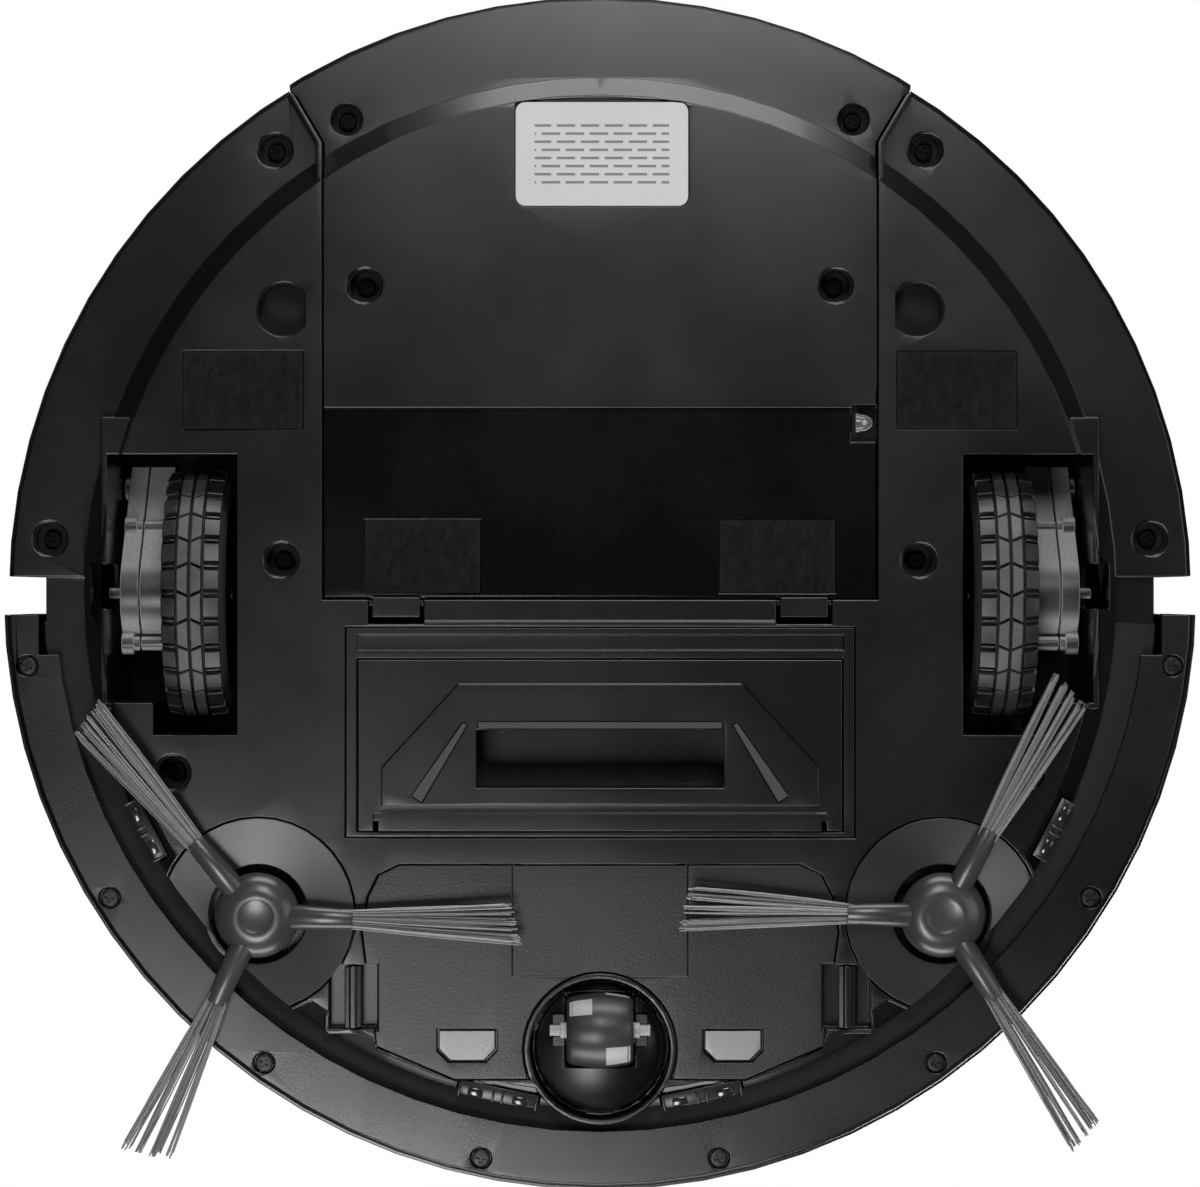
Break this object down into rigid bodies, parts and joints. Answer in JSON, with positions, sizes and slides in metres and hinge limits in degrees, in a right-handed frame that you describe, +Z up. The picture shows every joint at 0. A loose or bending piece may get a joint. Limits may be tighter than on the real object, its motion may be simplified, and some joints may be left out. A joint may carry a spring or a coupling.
{
  "type": "robot vacuum",
  "caption": "Round robot vacuum with side brushes, a suction mouth, sprung drive wheels, a swivel caster, a pressing bumper and a rear bin that slides out.",
  "frame": {"origin": "on the floor under the middle of the round body", "axes": "+Z up, -Y towards the bumper and the caster, +Y towards the dust bin, +X to the robot's left"},
  "size_m": [0.3096, 0.31, 0.0763],
  "materials": {
    "case_plastic": "satin",
    "inner_plastic": "satin",
    "gloss_panel": "gloss",
    "button_plastic": "satin",
    "gearbox_plastic": "satin",
    "smoky_plastic": "satin",
    "bristle": "matte",
    "tyre": "matte",
    "caster_tread": "satin",
    "vane_rubber": "matte",
    "contact_metal": "satin",
    "axle_steel": "satin",
    "label_film": "matte",
    "loop_pile": "matte",
    "filter_paper": "matte",
    "clear_lens": "gloss",
    "battery_wrap": "satin",
    "circuit_board": "satin"
  },
  "bodies": {
    "chassis": {"chassis_base": "case_plastic", "top_cover": "case_plastic", "top_deck": "gloss_panel", "suction_frame": "inner_plastic", "suction_duct": "inner_plastic", "battery_pack": "battery_wrap", "main_board": "circuit_board", "suction_fan": "inner_plastic", "left_base_pad": "loop_pile", "left_charge_contact": "contact_metal", "left_brush_dish": "case_plastic", "left_brush_gearbox": "inner_plastic", "left_front_cliff_sensor": "gloss_panel", "left_side_cliff_sensor": "gloss_panel", "right_base_pad": "loop_pile", "right_charge_contact": "contact_metal", "right_brush_dish": "case_plastic", "right_brush_gearbox": "inner_plastic", "right_front_cliff_sensor": "gloss_panel", "right_side_cliff_sensor": "gloss_panel"},
    "bumper": {"bumper_shell": "case_plastic", "bumper_skirt": "case_plastic", "bumper_window": "gloss_panel"},
    "dust_bin": {"dust_bin": "case_plastic", "dust_bin_lid": "inner_plastic", "dust_bin_panel": "inner_plastic", "dust_bin_filter": "filter_paper", "dust_bin_led": "clear_lens", "rating_label": "label_film", "left_bin_pad": "loop_pile", "left_bin_clip": "case_plastic", "right_bin_pad": "loop_pile", "right_bin_clip": "case_plastic"},
    "release_button": {"release_button": "button_plastic"},
    "power_button": {"power_button": "button_plastic"},
    "suction_plate": {"suction_plate": "case_plastic", "suction_blade": "vane_rubber", "left_suction_fin": "vane_rubber", "right_suction_fin": "vane_rubber"},
    "battery_hatch": {"battery_hatch": "case_plastic"},
    "caster_swivel": {"caster_swivel": "inner_plastic", "caster_axle": "axle_steel"},
    "caster_wheel": {"caster_wheel": "caster_tread"},
    "left_hatch_latch": {"left_hatch_latch": "case_plastic"},
    "left_brush": {"left_brush_hub": "smoky_plastic", "left_brush_tuft_1": "bristle", "left_brush_tuft_2": "bristle", "left_brush_tuft_3": "bristle"},
    "left_drive": {"left_drive_gearbox": "gearbox_plastic"},
    "left_wheel": {"left_drive_rim": "inner_plastic", "left_drive_tyre": "tyre"},
    "right_hatch_latch": {"right_hatch_latch": "case_plastic"},
    "right_brush": {"right_brush_hub": "smoky_plastic", "right_brush_tuft_1": "bristle", "right_brush_tuft_2": "bristle", "right_brush_tuft_3": "bristle"},
    "right_drive": {"right_drive_gearbox": "gearbox_plastic"},
    "right_wheel": {"right_drive_rim": "inner_plastic", "right_drive_tyre": "tyre"}
  },
  "joints": [
    {"name": "bumper_press", "type": "slide", "parent": "chassis", "child": "bumper", "axis": [0, 1, 0], "range_m": [0, 0.0018], "stiffness_N_per_m": 500, "springref_m": -0.003},
    {"name": "dust_bin_slide", "type": "slide", "parent": "chassis", "child": "dust_bin", "axis": [0, 1, 0], "range_m": [0, 0.16]},
    {"name": "release_button_press", "type": "slide", "parent": "dust_bin", "child": "release_button", "axis": [0, -1, 0], "range_m": [0, 0.002], "stiffness_N_per_m": 300, "springref_m": -0.002},
    {"name": "power_button_press", "type": "slide", "parent": "chassis", "child": "power_button", "axis": [0, 0, -1], "range_m": [0, 0.0012], "stiffness_N_per_m": 500, "springref_m": -0.001},
    {"name": "suction_plate_float", "type": "slide", "parent": "chassis", "child": "suction_plate", "axis": [0, 0, 1], "range_m": [0, 0.0012]},
    {"name": "battery_hatch_open", "type": "hinge", "parent": "chassis", "child": "battery_hatch", "pos_m": [0, -0.0704, 0.0095], "axis": [1, 0, 0], "range_deg": [0, 60]},
    {"name": "caster_turn", "type": "hinge", "parent": "chassis", "child": "caster_swivel", "pos_m": [0, -0.118, 0.02], "axis": [0, 0, 1], "continuous": true},
    {"name": "caster_wheel_spin", "type": "hinge", "parent": "caster_swivel", "child": "caster_wheel", "pos_m": [0, -0.113, 0.00975], "axis": [1, 0, 0], "continuous": true},
    {"name": "left_hatch_latch_press", "type": "slide", "parent": "chassis", "child": "left_hatch_latch", "axis": [-1, 0, 0], "range_m": [0, 0.0016], "stiffness_N_per_m": 400, "springref_m": -0.001},
    {"name": "left_brush_spin", "type": "hinge", "parent": "chassis", "child": "left_brush", "pos_m": [0.0885, -0.083, 0.006], "axis": [0, 0, 1], "continuous": true, "deforming": ["left_brush_tuft_1", "left_brush_tuft_2", "left_brush_tuft_3"]},
    {"name": "left_suspension", "type": "hinge", "parent": "chassis", "child": "left_drive", "pos_m": [0.1197, 0.028, 0.049], "axis": [1, 0, 0], "range_deg": [0, 16], "stiffness_Nm_per_rad": 0.2, "springref_deg": 31.51},
    {"name": "left_wheel_spin", "type": "hinge", "parent": "left_drive", "child": "left_wheel", "pos_m": [0.10475, 0, 0.0325], "axis": [1, 0, 0], "continuous": true},
    {"name": "right_hatch_latch_press", "type": "slide", "parent": "chassis", "child": "right_hatch_latch", "axis": [1, 0, 0], "range_m": [0, 0.0016], "stiffness_N_per_m": 400, "springref_m": -0.001},
    {"name": "right_brush_spin", "type": "hinge", "parent": "chassis", "child": "right_brush", "pos_m": [-0.0885, -0.083, 0.006], "axis": [0, 0, 1], "continuous": true, "deforming": ["right_brush_tuft_1", "right_brush_tuft_2", "right_brush_tuft_3"]},
    {"name": "right_suspension", "type": "hinge", "parent": "chassis", "child": "right_drive", "pos_m": [-0.1197, 0.028, 0.049], "axis": [1, 0, 0], "range_deg": [0, 16], "stiffness_Nm_per_rad": 0.2, "springref_deg": 31.51},
    {"name": "right_wheel_spin", "type": "hinge", "parent": "right_drive", "child": "right_wheel", "pos_m": [-0.10475, 0, 0.0325], "axis": [1, 0, 0], "continuous": true}
  ]
}
